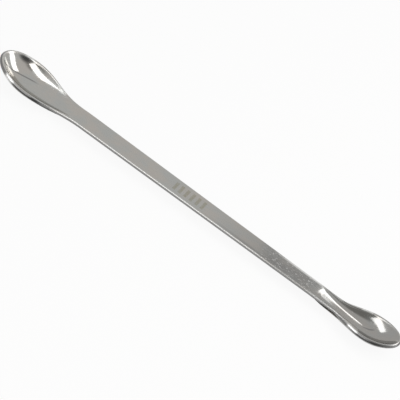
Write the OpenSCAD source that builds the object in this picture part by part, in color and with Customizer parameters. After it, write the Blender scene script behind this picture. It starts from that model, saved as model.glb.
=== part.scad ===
// Double-ended lab spatula, pressed from one strip of stainless steel.
// X runs along the handle, with the large bowl at -X and the small bowl at +X.
// Z is up, and z = 0 is the bench that the undersides of both bowls rest on.

/* [Strip] */
// Overall length from tip to tip
overall_length = 181; // [150:1:220]
// Thickness of the steel strip
sheet_thickness = 1.5; // [1:0.1:2]
// Radius that breaks the cut edges of the strip
edge_radius = 0.5; // [0.2:0.05:0.6]

/* [Handle] */
// Width of the handle at the neck of the large bowl
handle_width_large = 8.6; // [6:0.1:11]
// Width of the handle at the neck of the small bowl
handle_width_small = 7.4; // [5:0.1:10]
// Height of the handle's underside above the bench, which is how far both bowls hang below it
handle_height = 2.9; // [2:0.1:6]

/* [Large bowl] */
// Width between the top edges of the rim
large_rim_width = 16; // [12:0.1:24]
// Length from the deepest point to the tip of the rim
large_nose = 13.4; // [9:0.1:20]
// Length over which the outline narrows from the bowl to the handle
large_flare = 26; // [18:0.5:36]
// Length over which the hollow runs out from the deepest point to the handle
large_runout = 23.5; // [12:0.5:30]
// How softly the hollow fades out: 1 would end in a crease, 3 fades slowly
large_fade = 1.3; // [1.2:0.1:3]
// Width of the hollow where it starts in the handle
large_hollow_start = 5.8; // [3:0.1:7]
// How full the bowl's wall is: 2 is a plain curve, and above that the floor is flatter
large_wall = 2.6; // [1.8:0.1:4]
// How full the wall is where the hollow starts in the handle
large_start_wall = 2.8; // [1.8:0.1:5]
// How softly the wall rounds over to the rim
large_shoulder = 0.28; // [0.05:0.01:0.5]
// Rise of the rim's tip above the top of the handle
large_tip_rise = 3.4; // [0.5:0.1:6]
// Dip of the neck below the top of the handle
large_neck_dip = 0.6; // [0:0.1:1.2]

/* [Small bowl] */
// Width between the top edges of the rim
small_rim_width = 13.1; // [9:0.1:20]
// Length from the deepest point to the tip of the rim
small_nose = 10.9; // [8:0.1:18]
// Length over which the outline narrows from the bowl to the handle
small_flare = 18; // [14:0.5:30]
// Length over which the hollow runs out from the deepest point to the handle
small_runout = 26; // [12:0.5:30]
// How softly the hollow fades out: 1 would end in a crease, 3 fades slowly
small_fade = 1.5; // [1.2:0.1:3]
// Width of the hollow where it starts in the handle
small_hollow_start = 5.9; // [3:0.1:6.5]
// How full the bowl's wall is: 2 is a plain curve, and above that the floor is flatter
small_wall = 1.9; // [1.8:0.1:4]
// How full the wall is where the hollow starts in the handle
small_start_wall = 4; // [1.8:0.1:5]
// How softly the wall rounds over to the rim
small_shoulder = 0.18; // [0.05:0.01:0.5]
// Rise of the rim's tip above the top of the handle
small_tip_rise = 3.1; // [0.5:0.1:6]
// Dip of the neck below the top of the handle
small_neck_dip = 0.35; // [0:0.05:1.2]

/* [Hidden] */

steel = [0.67, 0.66, 0.64];
handle_top = handle_height + sheet_thickness;
// The cut edge keeps a narrow flat between its two rounded corners.
edge_r = min(edge_radius, 0.45 * sheet_thickness);

// Share of a bowl's half width that stays level, so that the bowl sits without rocking.
flat_share = 0.06;
// Share of a bowl's half width at which its wall would end: above 1 the rim cuts the wall off.
wall_share = 1.06;
// How late a hollow narrows on its way to the handle: 1 narrows evenly.
narrowing = 1.4;
// Share of an end's length, counted from the handle, that the dip of its neck takes up.
dip_share = 0.6;
// How full the outline stays before it narrows to the neck.
flare_power = 3.5;

// Facets round a quarter of a nose, along a neck, and from the middle of the strip to its edge.
nose_steps = 14;
neck_steps = 24;
across_steps = 9;
// Degrees of each facet of a rounded corner.
corner_step = 30;
// Step used to measure the slope of a surface.
probe = 0.001;

large_neck = max(large_flare, large_runout);
small_neck = max(small_flare, small_runout);
large_overhang = overhang(large_nose, large_tip_rise, large_wall, large_shoulder);
small_overhang = overhang(small_nose, small_tip_rise, small_wall, small_shoulder);
large_middle = large_overhang + large_nose - overall_length / 2;
small_middle = overall_length / 2 - small_nose - small_overhang;

// Height from 0 at the floor to 1 at the rim, at share s of the way out. The wall ends at the given
// width, also a share, and a soft shoulder leads on from there.
function rounded(a, shoulder) =
    let (k = max(0, min(1, 0.5 + 0.5 * (1 - a) / shoulder)))
    1 - k + a * k - shoulder * k * (1 - k);
function climb(s, width, power, shoulder) =
    let (way = max(s - flat_share, 0) / (1 - flat_share))
    rounded(pow(way / width, power), shoulder) / rounded(pow(1 / width, power), shoulder);

// Slope of the sheet at the tip of a bowl, and how far the cut edge there stands out past the rim.
function tip_angle(nose, rise, wall, shoulder) =
    atan((1 - climb(1 - probe, wall_share, wall, shoulder)) / probe * (handle_height + rise) / nose);
function overhang(nose, rise, wall, shoulder) =
    let (angle = tip_angle(nose, rise, wall, shoulder))
    (sheet_thickness - edge_r) * sin(angle) + edge_r * (1 - cos(angle));

function unit(v) = v / norm(v);
function reversed(list) = [for (i = [len(list) - 1:-1:0]) list[i]];
function mirrored(points) = [for (p = points) [p.x, -p.y, p.z]];

// Shares of the way out from the middle of the strip, up to where its rounded corner starts.
function shares(half) =
    let (last = 1 - edge_r / half)
    [for (i = [0:across_steps - 1]) flat_share + (last - flat_share) * i / across_steps];

// The cut edge below the corner point, where out leaves the strip and up is its normal.
function cut_edge(corner, out, up) = [
    for (a = [0:corner_step:90])
        corner + edge_r * ((sin(a) - 1) * out + (cos(a) - 1) * up),
    for (a = [90:corner_step:180])
        corner + edge_r * ((sin(a) - 1) * out + (cos(a) + 1) * up) - sheet_thickness * up
];

// Half of a section through the flat strip, from the middle of its top round to its underside.
function flat_profile(x, half) = [
    for (s = shares(half)) [x, s * half, handle_top],
    each cut_edge([x, half, handle_top], [0, 1, 0], [0, 0, 1]),
    for (s = reversed(shares(half))) [x, s * half, handle_height]
];

// Triangles between two rows of points that start at the given places.
function band(a, b, count) = [
    for (j = [0:count - 2]) each [[a + j, a + j + 1, b + j], [a + j + 1, b + j + 1, b + j]]
];

// Triangles from one middle point to each side of a closed row of points.
function fan(middle, row) = [
    for (j = [0:len(row) - 1]) [middle, row[j], row[(j + 1) % len(row)]]
];

// The tapered flat strip between the two necks.
module handle() {
    ends = [
        flat_profile(large_middle + large_neck, handle_width_large / 2),
        flat_profile(small_middle - small_neck, handle_width_small / 2)
    ];
    rings = [for (half = ends) concat(half, reversed(mirrored(half)))];
    count = len(rings[0]);
    first = [for (j = [0:count - 1]) j];
    second = [for (j = [0:count - 1]) count + j];
    middles = [for (ring = rings) [ring[0].x, 0, handle_top - sheet_thickness / 2]];
    polyhedron(
        points = concat(rings[0], rings[1], middles),
        faces = concat(
            band(0, count, count),
            [[count - 1, 0, 2 * count - 1], [0, count, 2 * count - 1]],
            fan(2 * count, reversed(first)),
            fan(2 * count + 1, second)
        )
    );
}

// One end of the strip with its bowl: the deepest point is at x = 0, the tip at -x and the neck at +x.
module bowl_end(
    rim_width, nose, flare, neck, runout, fade, hollow_start, wall, start_wall, shoulder, tip_rise,
    neck_dip, neck_width
) {
    // Half width of the outline beside the neck.
    function half_width(x) =
        (neck_width + (rim_width - neck_width) * pow(1 - pow(min(x / flare, 1), 2), flare_power)) / 2;

    // Height of the rim, which dips at the neck and then rises to the tip.
    function rim_z(x) =
        let (share = max(neck - x, 0) / (neck + nose))
        handle_top + tip_rise * share * share - neck_dip * pow(sin(180 * min(share / dip_share, 1)), 2);

    // Height of the hollow's floor along the middle.
    function floor_z(x) =
        let (left = pow(1 - pow(min(x / runout, 1), 2), fade))
        rim_z(x) + (sheet_thickness - rim_z(x)) * left;

    // Share of the half width that the hollow takes up, and how full its wall is there.
    function hollow_share(x) =
        wall_share
        + (min(hollow_start / neck_width, 1) - wall_share) * pow(min(x / runout, 1), narrowing);
    function fullness(x) = wall + (start_wall - wall) * min(x / runout, 1);

    // The outline runs from the neck at q = 1 past the widest point at q = 0 to the tip at q = -1.
    function outline(q) = q < 0
        ? [-nose * cos(90 * (1 + q)), rim_width / 2 * sin(90 * (1 + q))]
        : [q * neck, half_width(q * neck)];
    function spine(q) = [max(q, 0) * neck, 0];

    // Point of the top surface at share s of the way from the middle line to the outline.
    function sheet(q, s) =
        let (
            out = outline(q),
            mid = spine(q),
            plan = mid + s * (out - mid),
            deep = floor_z(mid.x),
            up = climb(s, hollow_share(mid.x), fullness(mid.x), shoulder)
        )
        [plan.x, plan.y, deep + (rim_z(out.x) - deep) * up];

    function normal(q, s) =
        unit(cross(sheet(q + probe, s) - sheet(q - probe, s), sheet(q, s) - sheet(q, s - probe)));

    // Half of a section from the middle of the hollow round the rim to the middle of the underside.
    function profile(q) =
        let (
            steps = shares(norm(outline(q) - spine(q))),
            out = unit(sheet(q, 1) - sheet(q, 1 - probe))
        )
        [
            for (s = steps) sheet(q, s),
            each cut_edge(sheet(q, 1), out, normal(q, 1)),
            for (s = reversed(steps)) sheet(q, s) - sheet_thickness * normal(q, s)
        ];

    side = [
        flat_profile(neck, neck_width / 2),
        for (i = [neck_steps - 1:-1:0]) profile(i / neck_steps),
        for (i = [1:nose_steps]) profile(-i / nose_steps)
    ];
    half = len(side) - 1;
    last = 2 * half;
    count = len(side[0]);
    rows = concat(side, [for (i = [half - 1:-1:0]) mirrored(side[i])]);
    cap = concat(
        [for (j = [0:count - 1]) j],
        [for (j = [count - 1:-1:0]) last * count + j]
    );
    // The rows on both sides meet along the middle of the hollow and of the underside.
    seam = [
        for (i = [0:half - 2])
            let (a = i * count, b = (last - i) * count, c = b - count, d = a + count, low = count - 1)
            each [[a, d, c], [a, c, b], [a + low, c + low, d + low], [a + low, b + low, c + low]]
    ];
    tip = half * count;
    polyhedron(
        points = concat([for (row = rows) each row], [[neck, 0, handle_top - sheet_thickness / 2]]),
        faces = concat(
            [for (i = [0:last - 1]) each band((i + 1) * count, i * count, count)],
            seam,
            [
                [tip - count, tip, tip + count],
                [tip - 1, tip + 2 * count - 1, tip + count - 1]
            ],
            fan((last + 1) * count, cap)
        )
    );
}

module spatula() {
    color(steel) union() {
        handle();
        translate([large_middle, 0, 0])
            bowl_end(
                large_rim_width, large_nose, large_flare, large_neck, large_runout, large_fade,
                large_hollow_start, large_wall, large_start_wall, large_shoulder, large_tip_rise,
                large_neck_dip, handle_width_large
            );
        translate([small_middle, 0, 0]) mirror([1, 0, 0])
            bowl_end(
                small_rim_width, small_nose, small_flare, small_neck, small_runout, small_fade,
                small_hollow_start, small_wall, small_start_wall, small_shoulder, small_tip_rise,
                small_neck_dip, handle_width_small
            );
    }
}

spatula();
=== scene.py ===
import math

import bmesh
import bpy
import numpy as np
from mathutils import Matrix, Quaternion, Vector


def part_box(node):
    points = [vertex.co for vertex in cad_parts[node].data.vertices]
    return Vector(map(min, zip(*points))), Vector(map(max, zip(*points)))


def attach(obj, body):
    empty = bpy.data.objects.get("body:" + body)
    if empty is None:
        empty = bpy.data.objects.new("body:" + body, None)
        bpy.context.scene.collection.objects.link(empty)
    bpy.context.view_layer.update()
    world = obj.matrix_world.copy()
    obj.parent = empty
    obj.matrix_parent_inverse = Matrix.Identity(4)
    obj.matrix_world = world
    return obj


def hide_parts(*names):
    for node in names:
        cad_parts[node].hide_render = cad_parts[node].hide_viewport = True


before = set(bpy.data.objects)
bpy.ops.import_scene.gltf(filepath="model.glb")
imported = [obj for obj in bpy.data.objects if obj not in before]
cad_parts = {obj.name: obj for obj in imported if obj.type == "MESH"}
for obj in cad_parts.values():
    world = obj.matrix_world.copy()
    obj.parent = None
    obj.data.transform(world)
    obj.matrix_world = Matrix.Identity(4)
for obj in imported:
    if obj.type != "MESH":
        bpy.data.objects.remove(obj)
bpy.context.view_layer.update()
print("frame loaded")

scene = bpy.context.scene
millimetre = 0.001  # in metres; sizes below are in millimetres

# the strip and its two bowls, with the sizes of the solid
stripShape = {
    "thickness": 1.5,
    "edgeRadius": 0.5,
    "handleHeight": 2.9,  # underside of the handle above the bench
    "dipShare": 0.6,  # the rim dips over this share of the way from neck to tip
    "flarePower": 3.5,
    "flatShare": 0.06,  # flat middle of a hollow, as a share of the half width
    "wallShare": 1.06,  # width of a hollow at the bowl, as a share of the rim's width
    "narrowing": 1.4,
}
largeBowl = {
    "rimWidth": 16.0,
    "nose": 13.4,  # from the widest place to the tip
    "flare": 26.0,  # from the widest place to the straight edge of the handle
    "runout": 23.5,  # from the widest place to the end of the hollow
    "fade": 1.3,
    "hollowStart": 5.8,
    "wall": 2.6,
    "startWall": 2.8,
    "shoulder": 0.28,
    "tipRise": 3.4,
    "neckDip": 0.6,
    "neckWidth": 8.6,
}
smallBowl = {
    "rimWidth": 13.1,
    "nose": 10.9,
    "flare": 18.0,
    "runout": 26.0,
    "fade": 1.5,
    "hollowStart": 5.9,
    "wall": 1.9,
    "startWall": 4.0,
    "shoulder": 0.18,
    "tipRise": 3.1,
    "neckDip": 0.35,
    "neckWidth": 7.4,
    "bendDepth": 0.13,  # a slightly firmer bend than the solid's where the neck starts
    "bendCurve": 3.0,  # the bend comes later towards both sides
    "bendAlong": (24.0, 21.7, 2.0),
}
meshSteps = {"nose": 64, "neck": 150, "handle": 60, "across": 40, "corner": 8}
smallStep = 1e-3  # for slopes
leastTurn = 1e-12  # below this two lines count as parallel


def unitRows(v):
    return v / np.linalg.norm(v, axis=-1, keepdims=True)


def eased(v):
    v = np.clip(v, 0, 1)
    return v * v * (3 - 2 * v)


# height from 0 at the floor of a hollow to 1 at its rim, with a soft shoulder above the wall
def climb(share, width, power, shoulder):
    def rounded(a):
        k = np.clip(0.5 + 0.5 * (1 - a) / shoulder, 0, 1)
        return 1 - k + a * k - shoulder * k * (1 - k)

    way = np.maximum(share - stripShape["flatShare"], 0) / (1 - stripShape["flatShare"])
    return rounded((way / width) ** power) / rounded((1 / width) ** power)


def respaced(points, count):
    way = np.concatenate([[0], np.cumsum(np.linalg.norm(np.diff(points, axis=0), axis=1))])
    even = np.linspace(0, way[-1], count)
    return np.stack([np.interp(even, way, axis) for axis in points.T], -1)


# the underside of one cross-section, from its middle to the cut edge, without the small loop
# that a tight shoulder would leave beside the lower corner
def unfolded(chain, inner):
    def cross(a, b):
        return a[..., 0] * b[..., 1] - a[..., 1] * b[..., 0]

    start = chain[:-1, 1:]
    step = np.diff(chain[:, 1:], axis=0)
    turn = cross(step[:, None], step[None])
    turn = np.where(np.abs(turn) < leastTurn, leastTurn, turn)
    gap = start[None] - start[:, None]
    one = cross(gap, step[None]) / turn
    two = cross(gap, step[:, None]) / turn
    order = np.arange(len(step))
    meets = (one >= 0) & (one <= 1) & (two >= 0) & (two <= 1) & (order[None] > order[:, None] + 1)
    under = chain[:inner]
    corner = chain[inner:]
    if meets.any():
        i, j = np.argwhere(meets)[0]
        j = np.flatnonzero(meets[i]).max()
        crossing = (chain[i] + one[i, j] * (chain[i + 1] - chain[i]))[None]
        under = np.concatenate([chain[:i + 1], crossing, chain[j + 1:inner]])
        if j + 1 > inner:
            corner = respaced(np.concatenate([crossing, chain[j + 1:]]), len(corner) + 1)[1:]
    under = respaced(np.concatenate([under, corner[:1]]), inner + 1)[:-1]
    return np.concatenate([under, corner])


# half cross-sections of one bowl and its neck, from the middle of the top round to the middle below
def bowlProfiles(bowl):
    thickness = stripShape["thickness"]
    radius = stripShape["edgeRadius"]
    top = stripShape["handleHeight"] + thickness
    neck = max(bowl["flare"], bowl["runout"])

    def halfWidth(x):
        full = (1 - np.clip(x / bowl["flare"], 0, 1) ** 2) ** stripShape["flarePower"]
        return (bowl["neckWidth"] + (bowl["rimWidth"] - bowl["neckWidth"]) * full) / 2

    def rimHeight(x):
        share = np.maximum(neck - x, 0) / (neck + bowl["nose"])
        dip = np.sin(np.pi * np.minimum(share / stripShape["dipShare"], 1)) ** 2
        return top + bowl["tipRise"] * share ** 2 - bowl["neckDip"] * dip

    def floorHeight(x, s):
        left = (1 - np.clip(x / bowl["runout"], 0, 1) ** 2) ** bowl["fade"]
        floor = rimHeight(x) + (thickness - rimHeight(x)) * left
        if "bendDepth" in bowl:
            start, end, gone = bowl["bendAlong"]
            fall = eased((start - x - bowl["bendCurve"] * s ** 2) / (start - end))
            floor = floor - bowl["bendDepth"] * fall * eased((x - gone) / (end - gone))
        return floor

    def outline(q):  # neck at 1, widest at 0, tip at -1
        angle = np.pi / 2 * (1 + q)
        along = np.maximum(q, 0) * neck
        x = np.where(q < 0, -bowl["nose"] * np.cos(angle), along)
        y = np.where(q < 0, bowl["rimWidth"] / 2 * np.sin(angle), halfWidth(along))
        return x, y

    def sheet(q, s):  # s is 0 in the middle and 1 at the rim
        x, y = outline(q)
        mid = np.maximum(q, 0) * neck
        deep = floorHeight(mid, s)
        u = np.clip(mid / bowl["runout"], 0, 1)
        wide = stripShape["wallShare"]
        start = bowl["hollowStart"] / bowl["neckWidth"]
        width = wide + (start - wide) * u ** stripShape["narrowing"]
        power = bowl["wall"] + (bowl["startWall"] - bowl["wall"]) * u
        wall = climb(s, width, power, bowl["shoulder"])
        return np.stack([mid + s * (x - mid), s * y, deep + (rimHeight(x) - deep) * wall], -1)

    def normal(q, s):
        alongStep = sheet(q + smallStep, s) - sheet(q - smallStep, s)
        acrossStep = sheet(q, s + smallStep) - sheet(q, s - smallStep)
        return unitRows(np.cross(alongStep, acrossStep))

    neckRows = np.linspace(1, 0, meshSteps["neck"] + 1)[:-1]
    q = np.concatenate([neckRows, np.linspace(0, -1, meshSteps["nose"] + 1)])
    x, y = outline(q)
    first = stripShape["flatShare"] / 2
    last = 1 - radius / np.hypot(x - np.maximum(q, 0) * neck, y)
    share = first + (last[:, None] - first) * np.linspace(0, 1, meshSteps["across"] + 1)[:-1]
    grid = np.repeat(q[:, None], share.shape[1], 1)
    upper = sheet(grid, share)
    lower = upper - thickness * normal(grid, share)

    # the cut edge stands square to the sheet, with a rounded corner above and below
    ones = np.ones_like(q)
    rim = sheet(q, ones)[:, None]
    up = normal(q, ones)[:, None]
    out = unitRows(sheet(q, ones) - sheet(q, ones - smallStep))[:, None]
    a = np.linspace(0, np.pi / 2, meshSteps["corner"] + 1)[None, :, None]
    cornerTop = rim + radius * ((np.sin(a) - 1) * out + (np.cos(a) - 1) * up)
    a = a + np.pi / 2
    cornerLow = rim + radius * ((np.sin(a) - 1) * out + (np.cos(a) + 1) * up) - thickness * up
    below = np.concatenate([lower, cornerLow[:, ::-1]], 1)
    for i in np.flatnonzero(q > 0):
        below[i] = unfolded(below[i], lower.shape[1])
    return np.concatenate([upper, cornerTop, below[:, ::-1]], 1)


# which points lie on the top face, the edge and its corners, for the finish
def edgeMasks(rows, count):
    across = meshSteps["across"]
    corner = meshSteps["corner"]
    masks = {
        "upperFace": slice(0, across),
        "rim": slice(across, count - across),  # the cut edge with both rounded corners
        "topCorner": slice(across + 1, across + corner - 1),
        "cutEdge": slice(across + corner - 1, count - across - corner // 2 - 1),
        "underEdge": slice(count - across - corner - 1, count - across),  # the lower rounded corner
    }
    for name, columns in masks.items():
        values = np.zeros((rows, count), np.float32)
        values[:, columns] = 1
        masks[name] = values.ravel()
    return masks


# half cross-sections in a row, from the large tip along one side to the small tip and back along the other
def stripRows():
    low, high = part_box("spatula")
    large = bowlProfiles(largeBowl)
    large = large + [low.x / millimetre - large[..., 0].min(), 0, 0]
    small = bowlProfiles(smallBowl) * [-1, 1, 1]
    small = small + [high.x / millimetre - small[..., 0].max(), 0, 0]
    k = np.linspace(0, 1, meshSteps["handle"] + 1)[1:-1, None, None]
    half = np.concatenate([large[::-1], large[:1] * (1 - k) + small[:1] * k, small])
    return np.concatenate([half, half[-2:0:-1] * [1, -1, 1]])


def stripFaces(rows, count):
    index = np.arange(rows * count).reshape(rows, count)
    after = np.roll(index, -1, 0)
    quads = np.stack([index[:, :-1], index[:, 1:], after[:, 1:], after[:, :-1]], -1).reshape(-1, 4)
    faces = [tuple(int(i) for i in f) for f in quads]

    # close the top and the underside along the middle, each row to the one across
    for column in (0, count - 1):
        for i in range(rows // 2):
            ring = [int(index[row, column]) for row in (i, i + 1, -i - 1, -i)]
            faces.append(tuple(v for n, v in enumerate(ring) if v not in ring[:n]))
    return faces


def spatulaMesh():
    points = stripRows()
    rows, count = points.shape[:2]
    mesh = bpy.data.meshes.new("spatulaBody")
    mesh.from_pydata((points.reshape(-1, 3) * millimetre).tolist(), [], stripFaces(rows, count))
    for name, values in edgeMasks(rows, count).items():
        mesh.attributes.new(name, "FLOAT", "POINT").data.foreach_set("value", values)
    bm = bmesh.new()
    bm.from_mesh(mesh)
    bmesh.ops.recalc_face_normals(bm, faces=bm.faces)
    bm.to_mesh(mesh)
    bm.free()
    mesh.shade_smooth()
    mesh.validate()
    body = bpy.data.objects.new("spatulaBody", mesh)
    scene.collection.objects.link(body)
    return body


spatula = spatulaMesh()
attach(spatula, "root")
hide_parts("spatula")
print("spatula built with", len(spatula.data.polygons), "faces")

# places are millimetres along the handle (+ to the small bowl) or across it
steelFinish = {
    "warm": (0.638, 0.61, 0.575, 1),
    "cool": (0.592, 0.6, 0.586, 1),
    "wornColor": (0.45, 0.445, 0.43, 1),
    # painted shade, also used for the darker small end and the dark lines in the bowls
    "paintedShadeColor": (0.30, 0.30, 0.298, 1),
    "nickColor": (0.92, 0.92, 0.91, 1),
    # partly duller sheared steel, partly painted shade for the shadowed floor that the cut edge mirrors
    "dullEdgeAndShadeColor": (0.29, 0.288, 0.285, 1),
    # painted shade for the lower corners of the bowls
    "underShadeColor": (0.03, 0.03, 0.03, 1),
    # painted highlight colour
    "highlightColor": (0.95, 0.95, 0.94, 1),
    "etchColor": (0.36, 0.34, 0.24, 1),
    "smudgeRange": (0.35, 0.65),
    "lineRange": (0.45, 0.75),
    "lineWear": 0.14,
    "smallEndShadeFrom": (0.0, 40.0),  # painted shade: darker towards the small bowl
    "smallEndShade": 0.42,
    "scratchRanges": {"scratchLeft": (0.66, 0.74), "scratchRight": (0.67, 0.75)},
    # painted shade: a darker, mottled stretch, with a painted shade line on one side of it and a painted
    # highlight line on the other
    "shadeFrom": (25.0, 36.0),
    "shadeTo": (49.0, 57.0),
    "shadeMottleRange": (0.36, 0.6),
    "shadeLeast": 0.4,
    "cloudShare": 0.75,  # of large clouds in it, beside fine grain
    "sideShadeFrom": (0.0, 28.0),
    "sideShadeAcross": (-1.7, -3.3),
    "sideShade": 0.9,
    # painted highlight line along the other edge of the painted-shade stretch
    "highlightLineFrom": (32.0, 42.0),
    "highlightLineTo": (53.0, 58.0),
    "highlightLineAcross": (2.4, 2.9),
    # fine nicks, many in the painted-shade stretch and few in the bowls
    "nickRange": (0.615, 0.68),
    "bowlNickRange": (0.70, 0.75),
    "bowlsFrom": (62.0, 68.0),
    # painted highlights on the upper corners, less so at both ends and in the painted-shade stretch, with
    # painted highlight spots on the rims
    "cornerHighlight": 0.45,
    "smallTip": (74.0, 78.0),
    "largeEnd": (-58.0, -66.0),
    "highlightLoss": {"shadedStretch": 0.85, "smallTip": 0.85, "largeEnd": 0.6},
    "highlightSpotLarge": ((-84.5, -83.0), (-81.0, -79.0)),
    "highlightSpotSmall": ((70.5, 72.0), (75.0, 76.5)),
    "underShadeLarge": ((-84.0, -77.0), (-70.0, -63.0)),
    "underShadeSmall": ((67.0, 75.0), (83.0, 88.0)),
    # painted reflections: a dark arc in each bowl
    "reflectedLineWidth": (0.4, 0.08),
    "reflectedLineLarge": {
        "middle": (-73.36, -18.07, 0.0),
        "radius": 20.97,
        "along": ((-89.0, -86.5), (-77.0, -73.0)),
        "from": -4.5,
    },
    "reflectedLineSmall": {
        "middle": (73.54, 12.10, 0.0),
        "radius": 11.2,
        "along": ((74.0, 77.0), (78.8, 80.0)),
        "from": 0.0,
    },
    # etched bars
    "etchAlong": (-11.0, 4.0),
    "etchAcross": 2.1,
    "etchPitch": 2.5,
    "etchBar": 1.2,
    "etchEdge": 0.05,  # softness of a bar's sides, as a share of the pitch
    "etchSoft": 0.1,  # softness of its ends
    "etchRange": (0.1, 0.6),
    # strength and colour of each mark, in the order in which they are laid on
    "layers": {
        "shadedStretch": (0.75, "paintedShadeColor"),
        "nicks": (0.85, "nickColor"),
        "reflectionLines": (0.95, "paintedShadeColor"),
        "etch": (0.6, "etchColor"),
        "edge": (1.0, "dullEdgeAndShadeColor"),
        "paintedHighlight": (1.0, "highlightColor"),
        "under": (0.8, "underShadeColor"),
    },
    "roughness": (0.07, 0.16),
    "roughRange": (0.3, 0.7),
    "rougher": {"lines": 0.03, "scratches": 0.1, "shadedStretch": 0.12, "nicks": 0.2, "etch": 0.2, "rim": 0.14},
    # relief in hundredths of a millimetre
    "lineRelief": 0.05,
    "rippleRelief": 0.6,
    "markRelief": 0.05,
    # noise stretched along the handle, with scales per millimetre and turns in radians
    "noiseRoughness": 0.6,
    "patterns": {
        "lines": {"scale": (0.09, 2.6, 2.6), "detail": 5},  # lengthwise polishing lines
        "smudge": {"scale": (0.13, 0.2, 0.2), "detail": 3, "seed": 7.0},
        "fine": {"scale": (1.1, 2.2, 2.2), "detail": 4, "seed": 3.0},
        "ripple": {"scale": (0.14, 0.2, 0.2), "detail": 1, "seed": 11.0},  # slow waves
        "scratchLeft": {"scale": (0.07, 3.6, 3.6), "detail": 2, "turn": 0.19},
        "scratchRight": {"scale": (0.06, 3.1, 3.1), "detail": 2, "turn": -0.33, "seed": 5.0},
        "cloud": {"scale": (0.16, 0.34, 0.34), "detail": 4, "turn": 0.3, "seed": 17.0},
        "nickLeft": {"scale": (0.9, 3.2, 3.2), "detail": 3, "turn": 0.9, "seed": 23.0},
        "nickRight": {"scale": (0.8, 3.0, 3.0), "detail": 3, "turn": -0.7, "seed": 29.0},
    },
}


def place(tree, kind, inputs, **settings):
    node = tree.nodes.new("ShaderNode" + kind)
    for name, value in settings.items():
        setattr(node, name, value)
    for name, value in inputs.items():
        if isinstance(value, bpy.types.NodeSocket):
            tree.links.new(value, node.inputs[name])
        else:
            node.inputs[name].default_value = value
    return node


steel = bpy.data.materials.new("polishedSteel")
steel.use_nodes = True
steelTree = steel.node_tree


def calc(operation, a, b=0.0, c=0.0):
    return place(steelTree, "Math", {0: a, 1: b, 2: c}, operation=operation).outputs[0]


def times(first, *others):
    for other in others:
        first = calc("MULTIPLY", first, other)
    return first


def most(first, *others):
    for other in others:
        first = calc("MAXIMUM", first, other)
    return first


def ramp(value, low, high):
    inputs = {"Value": value, "From Min": low, "From Max": high}
    return place(steelTree, "MapRange", inputs, interpolation_type="SMOOTHSTEP").outputs[0]


# 1 between two places, each with a soft start or end
def stretch(value, start, end):
    return times(ramp(value, *start), ramp(value, end[1], end[0]))


def tint(amount, a, b):
    return place(steelTree, "Mix", {0: amount, 6: a, 7: b}, data_type="RGBA").outputs[2]


def mask(name):
    return place(steelTree, "Attribute", {}, attribute_name=name).outputs["Fac"]


objectCoords = place(steelTree, "TexCoord", {}).outputs["Object"]
inputs = {0: objectCoords, "Scale": 1 / millimetre}
surface = place(steelTree, "VectorMath", inputs, operation="SCALE").outputs[0]
axes = place(steelTree, "SeparateXYZ", {0: surface}).outputs
along = axes["X"]
side = axes["Y"]


def noise(name):
    pattern = steelFinish["patterns"][name]
    seed = pattern.get("seed", 0.0)
    inputs = {"Vector": surface, "Location": (seed, seed, 0), "Scale": pattern["scale"]}
    inputs["Rotation"] = (0, 0, pattern.get("turn", 0.0))
    moved = place(steelTree, "Mapping", inputs).outputs[0]
    inputs = {"Vector": moved, "Scale": 1.0, "Detail": pattern["detail"]}
    inputs["Roughness"] = steelFinish["noiseRoughness"]
    return place(steelTree, "TexNoise", inputs).outputs["Fac"]


# painted shade: a darker, mottled stretch before the small neck, which starts as a painted shade line along
# one edge
def paintedShadeStretch(shadePlace, fine, face):
    sideShadeLine = stretch(along, steelFinish["sideShadeFrom"], steelFinish["shadeTo"])
    sideShadeLine = times(sideShadeLine, ramp(side, *steelFinish["sideShadeAcross"]), steelFinish["sideShade"])
    cloudy = steelFinish["cloudShare"]
    mottle = calc("ADD", times(noise("cloud"), cloudy), times(fine, 1 - cloudy))
    least = steelFinish["shadeLeast"]
    mottle = calc("MULTIPLY_ADD", ramp(mottle, *steelFinish["shadeMottleRange"]), 1 - least, least)
    return times(most(times(shadePlace, mottle), sideShadeLine), face)


def nickMarks(shadePlace, face):
    pattern = most(noise("nickLeft"), noise("nickRight"))
    nicks = times(shadePlace, ramp(pattern, *steelFinish["nickRange"]))
    inBowls = ramp(calc("ABSOLUTE", along), *steelFinish["bowlsFrom"])
    return times(most(nicks, times(inBowls, ramp(pattern, *steelFinish["bowlNickRange"]))), face)


# painted highlights: bright upper corners, spots on the rims and a line along one edge
def paintedHighlights(shadePlace, rim):
    bright = steelFinish["cornerHighlight"]
    places = {"shadedStretch": shadePlace}
    for name in ("smallTip", "largeEnd"):
        places[name] = ramp(along, *steelFinish[name])
    for name, loss in steelFinish["highlightLoss"].items():
        bright = times(bright, calc("SUBTRACT", 1.0, times(places[name], loss)))
    highlightSpots = most(stretch(along, *steelFinish["highlightSpotLarge"]), stretch(along, *steelFinish["highlightSpotSmall"]))
    highlightLine = stretch(along, steelFinish["highlightLineFrom"], steelFinish["highlightLineTo"])
    highlightLine = times(highlightLine, ramp(side, *steelFinish["highlightLineAcross"]))
    return most(times(mask("topCorner"), bright), times(rim, highlightSpots), highlightLine)


# painted shade: the lower corner of both bowls darkened, where it would mirror the shadowed floor beneath
def paintedShadowCorners():
    under = most(stretch(along, *steelFinish["underShadeLarge"]), stretch(along, *steelFinish["underShadeSmall"]))
    return times(mask("underEdge"), under)


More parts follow.
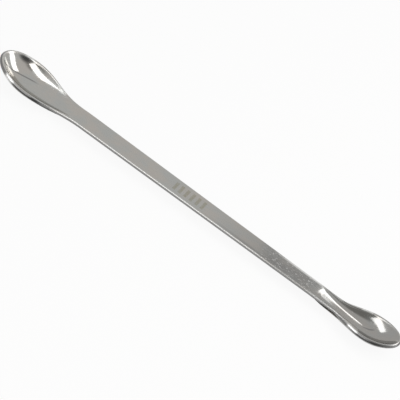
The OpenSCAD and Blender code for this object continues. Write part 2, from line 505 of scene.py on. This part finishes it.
# painted reflection: a dark curved line in each bowl
def paintedReflectionLines():
    flat = place(steelTree, "VectorMath", {0: surface, 1: (1, 1, 0)}, operation="MULTIPLY").outputs[0]

    def paintedReflectionLine(line):
        inputs = {0: flat, 1: line["middle"]}
        reach = place(steelTree, "VectorMath", inputs, operation="DISTANCE").outputs["Value"]
        off = calc("ABSOLUTE", calc("SUBTRACT", reach, line["radius"]))
        drawn = times(ramp(off, *steelFinish["reflectedLineWidth"]), stretch(along, *line["along"]))
        return times(drawn, calc("GREATER_THAN", side, line["from"]))

    both = most(paintedReflectionLine(steelFinish["reflectedLineLarge"]), paintedReflectionLine(steelFinish["reflectedLineSmall"]))
    return times(both, mask("upperFace"))


# a row of plain etched bars in the middle of the handle's top
def etchedBars(fine):
    start, end = steelFinish["etchAlong"]
    soft = steelFinish["etchSoft"]
    beat = calc("FRACT", calc("DIVIDE", calc("SUBTRACT", along, start), steelFinish["etchPitch"]))
    half = steelFinish["etchBar"] / steelFinish["etchPitch"] / 2
    edge = steelFinish["etchEdge"]
    bars = ramp(calc("ABSOLUTE", calc("SUBTRACT", beat, 0.5)), half + edge, half - edge)
    inside = times(calc("GREATER_THAN", along, start), calc("LESS_THAN", along, end))
    reach = steelFinish["etchAcross"]
    across = ramp(calc("ABSOLUTE", side), reach + soft, reach - soft)
    top = stripShape["handleHeight"] + stripShape["thickness"]
    onTop = calc("GREATER_THAN", axes["Z"], top - soft)
    return times(bars, inside, across, onTop, ramp(fine, *steelFinish["etchRange"]))


def finishSteel():
    lines = noise("lines")
    smudge = noise("smudge")
    fine = noise("fine")
    scratches = most(*(ramp(noise(name), *ends) for name, ends in steelFinish["scratchRanges"].items()))
    rim = mask("rim")
    face = calc("SUBTRACT", 1.0, rim)
    shadePlace = stretch(along, steelFinish["shadeFrom"], steelFinish["shadeTo"])
    marks = {
        "shadedStretch": paintedShadeStretch(shadePlace, fine, face),
        "nicks": nickMarks(shadePlace, face),
        "reflectionLines": paintedReflectionLines(),
        "etch": etchedBars(fine),
        # the cut edge darkened: duller sheared steel and painted shade
        "edge": mask("cutEdge"),
        "paintedHighlight": paintedHighlights(shadePlace, rim),
        # painted shade on the lower corners of the bowls
        "under": paintedShadowCorners(),
        "lines": lines,
        "scratches": scratches,
        "rim": rim,
    }

    color = tint(ramp(smudge, *steelFinish["smudgeRange"]), steelFinish["warm"], steelFinish["cool"])
    worn = times(ramp(lines, *steelFinish["lineRange"]), steelFinish["lineWear"])
    color = tint(worn, color, steelFinish["wornColor"])
    # painted shade: the handle and the small bowl darker towards the small end
    smallEndShading = times(ramp(along, *steelFinish["smallEndShadeFrom"]), steelFinish["smallEndShade"])
    color = tint(smallEndShading, color, steelFinish["paintedShadeColor"])
    for name, (amount, shade) in steelFinish["layers"].items():
        color = tint(times(marks[name], amount), color, steelFinish[shade])

    least, greatest = steelFinish["roughness"]
    low, high = steelFinish["roughRange"]
    inputs = {"Value": smudge, "From Min": low, "From Max": high, "To Min": least, "To Max": greatest}
    rough = place(steelTree, "MapRange", inputs).outputs[0]
    for name, gain in steelFinish["rougher"].items():
        rough = calc("ADD", rough, times(marks[name], gain))

    height = times(lines, steelFinish["lineRelief"])
    height = calc("ADD", height, times(noise("ripple"), steelFinish["rippleRelief"]))
    cut = times(most(scratches, marks["etch"], marks["nicks"]), steelFinish["markRelief"])
    height = times(calc("SUBTRACT", height, cut), face)
    inputs = {"Strength": 1.0, "Distance": millimetre / 100, "Height": height}
    bump = place(steelTree, "Bump", inputs).outputs[0]

    shader = steelTree.nodes["Principled BSDF"]
    steelTree.links.new(color, shader.inputs["Base Color"])
    steelTree.links.new(rough, shader.inputs["Roughness"])
    steelTree.links.new(bump, shader.inputs["Normal"])
    shader.inputs["Metallic"].default_value = 1


finishSteel()
spatula.data.materials.append(steel)
print("steel finished")

floorLook = {"color": (0.93, 0.93, 0.93, 1), "seen": 0.9, "mirrored": 0.4, "size": 6.0}  # size in metres


def benchTop():
    mesh = bpy.data.meshes.new("benchTop")
    s = floorLook["size"] / 2
    mesh.from_pydata([(-s, -s, 0), (s, -s, 0), (s, s, 0), (-s, s, 0)], [], [(0, 1, 2, 3)])
    bench = bpy.data.objects.new("benchTop", mesh)
    scene.collection.objects.link(bench)
    material = bpy.data.materials.new("benchWhite")
    material.use_nodes = True
    tree = material.node_tree
    tree.nodes.remove(tree.nodes["Principled BSDF"])
    # white as seen by the camera and in reflections, with some plain surface left to take the shadow
    rays = place(tree, "LightPath", {}).outputs
    inputs = {0: rays["Is Glossy Ray"], 1: rays["Is Transmission Ray"]}
    mirrored = place(tree, "Math", inputs, operation="MAXIMUM").outputs[0]
    mirrored = place(tree, "Math", {0: mirrored, 1: floorLook["mirrored"]}, operation="MULTIPLY").outputs[0]
    inputs = {0: rays["Is Camera Ray"], 1: floorLook["seen"], 2: mirrored}
    share = place(tree, "Math", inputs, operation="MULTIPLY_ADD").outputs[0]
    plain = place(tree, "BsdfDiffuse", {"Color": floorLook["color"]}).outputs[0]
    white = place(tree, "Emission", {"Strength": 1.0}).outputs[0]
    both = place(tree, "MixShader", {0: share, 1: plain, 2: white}).outputs[0]
    tree.links.new(both, tree.nodes["Material Output"].inputs["Surface"])
    mesh.materials.append(material)
    return bench


bench = benchTop()

# an even grey room, darker where the camera stands and beside it, by turn, height and reach in degrees
roomLight = {
    "grey": (0.585, 0.58, 0.57, 1),
    "shade": {"color": (0.24, 0.24, 0.23, 1), "turn": 170.0, "height": 38.0, "reach": (10.0, 26.0)},
    "dark": {"color": (0.06, 0.06, 0.06, 1), "turn": 141.0, "height": 18.5, "reach": (9.0, 25.0)},
}


def studioWorld():
    world = bpy.data.worlds.new("studio")
    scene.world = world
    world.use_nodes = True
    tree = world.node_tree
    coords = place(tree, "TexCoord", {}).outputs["Generated"]
    color = roomLight["grey"]
    for part in (roomLight["shade"], roomLight["dark"]):
        turn = math.radians(part["turn"])
        height = math.radians(part["height"])
        middle = (math.sin(turn) * math.cos(height), math.cos(turn) * math.cos(height), math.sin(height))
        near = place(tree, "VectorMath", {0: coords, 1: middle}, operation="DOT_PRODUCT").outputs["Value"]
        inner, outer = (math.cos(math.radians(a)) for a in part["reach"])
        inputs = {"Value": near, "From Min": outer, "From Max": inner}
        amount = place(tree, "MapRange", inputs, interpolation_type="SMOOTHSTEP").outputs[0]
        color = place(tree, "Mix", {0: amount, 6: color, 7: part["color"]}, data_type="RGBA").outputs[2]
    tree.links.new(color, tree.nodes["Background"].inputs["Color"])


studioWorld()

softboxes = {
    "right": {"at": (221, 109, 234), "aim": (0, 0, 5), "size": (358, 180), "twist": 36.0, "glow": 2.0},
    "camera": {"at": (-80, -232, 264), "aim": (0, 0, 5), "size": (310, 108), "twist": -23.3, "glow": 1.9},
}


def softbox(name, box):
    lamp = bpy.data.lights.new(name, "AREA")
    lamp.shape = "RECTANGLE"
    lamp.size, lamp.size_y = (v * millimetre for v in box["size"])
    lamp.energy = box["glow"] * math.pi * lamp.size * lamp.size_y
    holder = bpy.data.objects.new(name, lamp)
    scene.collection.objects.link(holder)
    holder.location = Vector(box["at"]) * millimetre
    holder.rotation_mode = "QUATERNION"
    facing = (Vector(box["aim"]) - Vector(box["at"])).to_track_quat("-Z", "Y")
    holder.rotation_quaternion = facing @ Quaternion((0, 0, 1), math.radians(box["twist"]))
    holder.visible_camera = False


for name, box in softboxes.items():
    softbox(name + "Softbox", box)
print("lights set")

view = {
    "turn": 11.12,  # degrees, as height and roll
    "height": 44.0,
    "roll": 28.453,
    "distance": 1500.0,
    "aim": (0.0, 0.0, 4.0),
    "middle": (197.04, 202.16),  # the pixel where the aim is seen
    "pixels": 2.7457,  # for each millimetre at the aim
    "picture": 400,
    "sensor": 36.0,
    "clip": (0.05, 20.0),  # in metres
}


def photoCamera():
    turn, height, roll = (math.radians(view[k]) for k in ("turn", "height", "roll"))
    reach = math.cos(height)
    forward = Vector((-math.sin(turn) * reach, math.cos(turn) * reach, -math.sin(height)))
    level = Vector((math.cos(turn), math.sin(turn), 0))
    upright = level.cross(forward)
    right = level * math.cos(roll) + upright * math.sin(roll)
    up = upright * math.cos(roll) - level * math.sin(roll)
    data = bpy.data.cameras.new("photoCamera")
    data.sensor_width = view["sensor"]
    data.lens = view["sensor"] * view["pixels"] * view["distance"] / view["picture"]
    data.clip_start, data.clip_end = view["clip"]
    camera = bpy.data.objects.new("photoCamera", data)
    scene.collection.objects.link(camera)
    across, down = ((view["picture"] / 2 - v) / view["pixels"] for v in view["middle"])
    aim = Vector(view["aim"]) + right * across - up * down
    spot = Matrix.Translation((aim - forward * view["distance"]) * millimetre)
    camera.matrix_world = spot @ Matrix((right, up, -forward)).transposed().to_4x4()
    scene.camera = camera


photoCamera()
scene.view_settings.view_transform = "Standard"
print("camera placed")
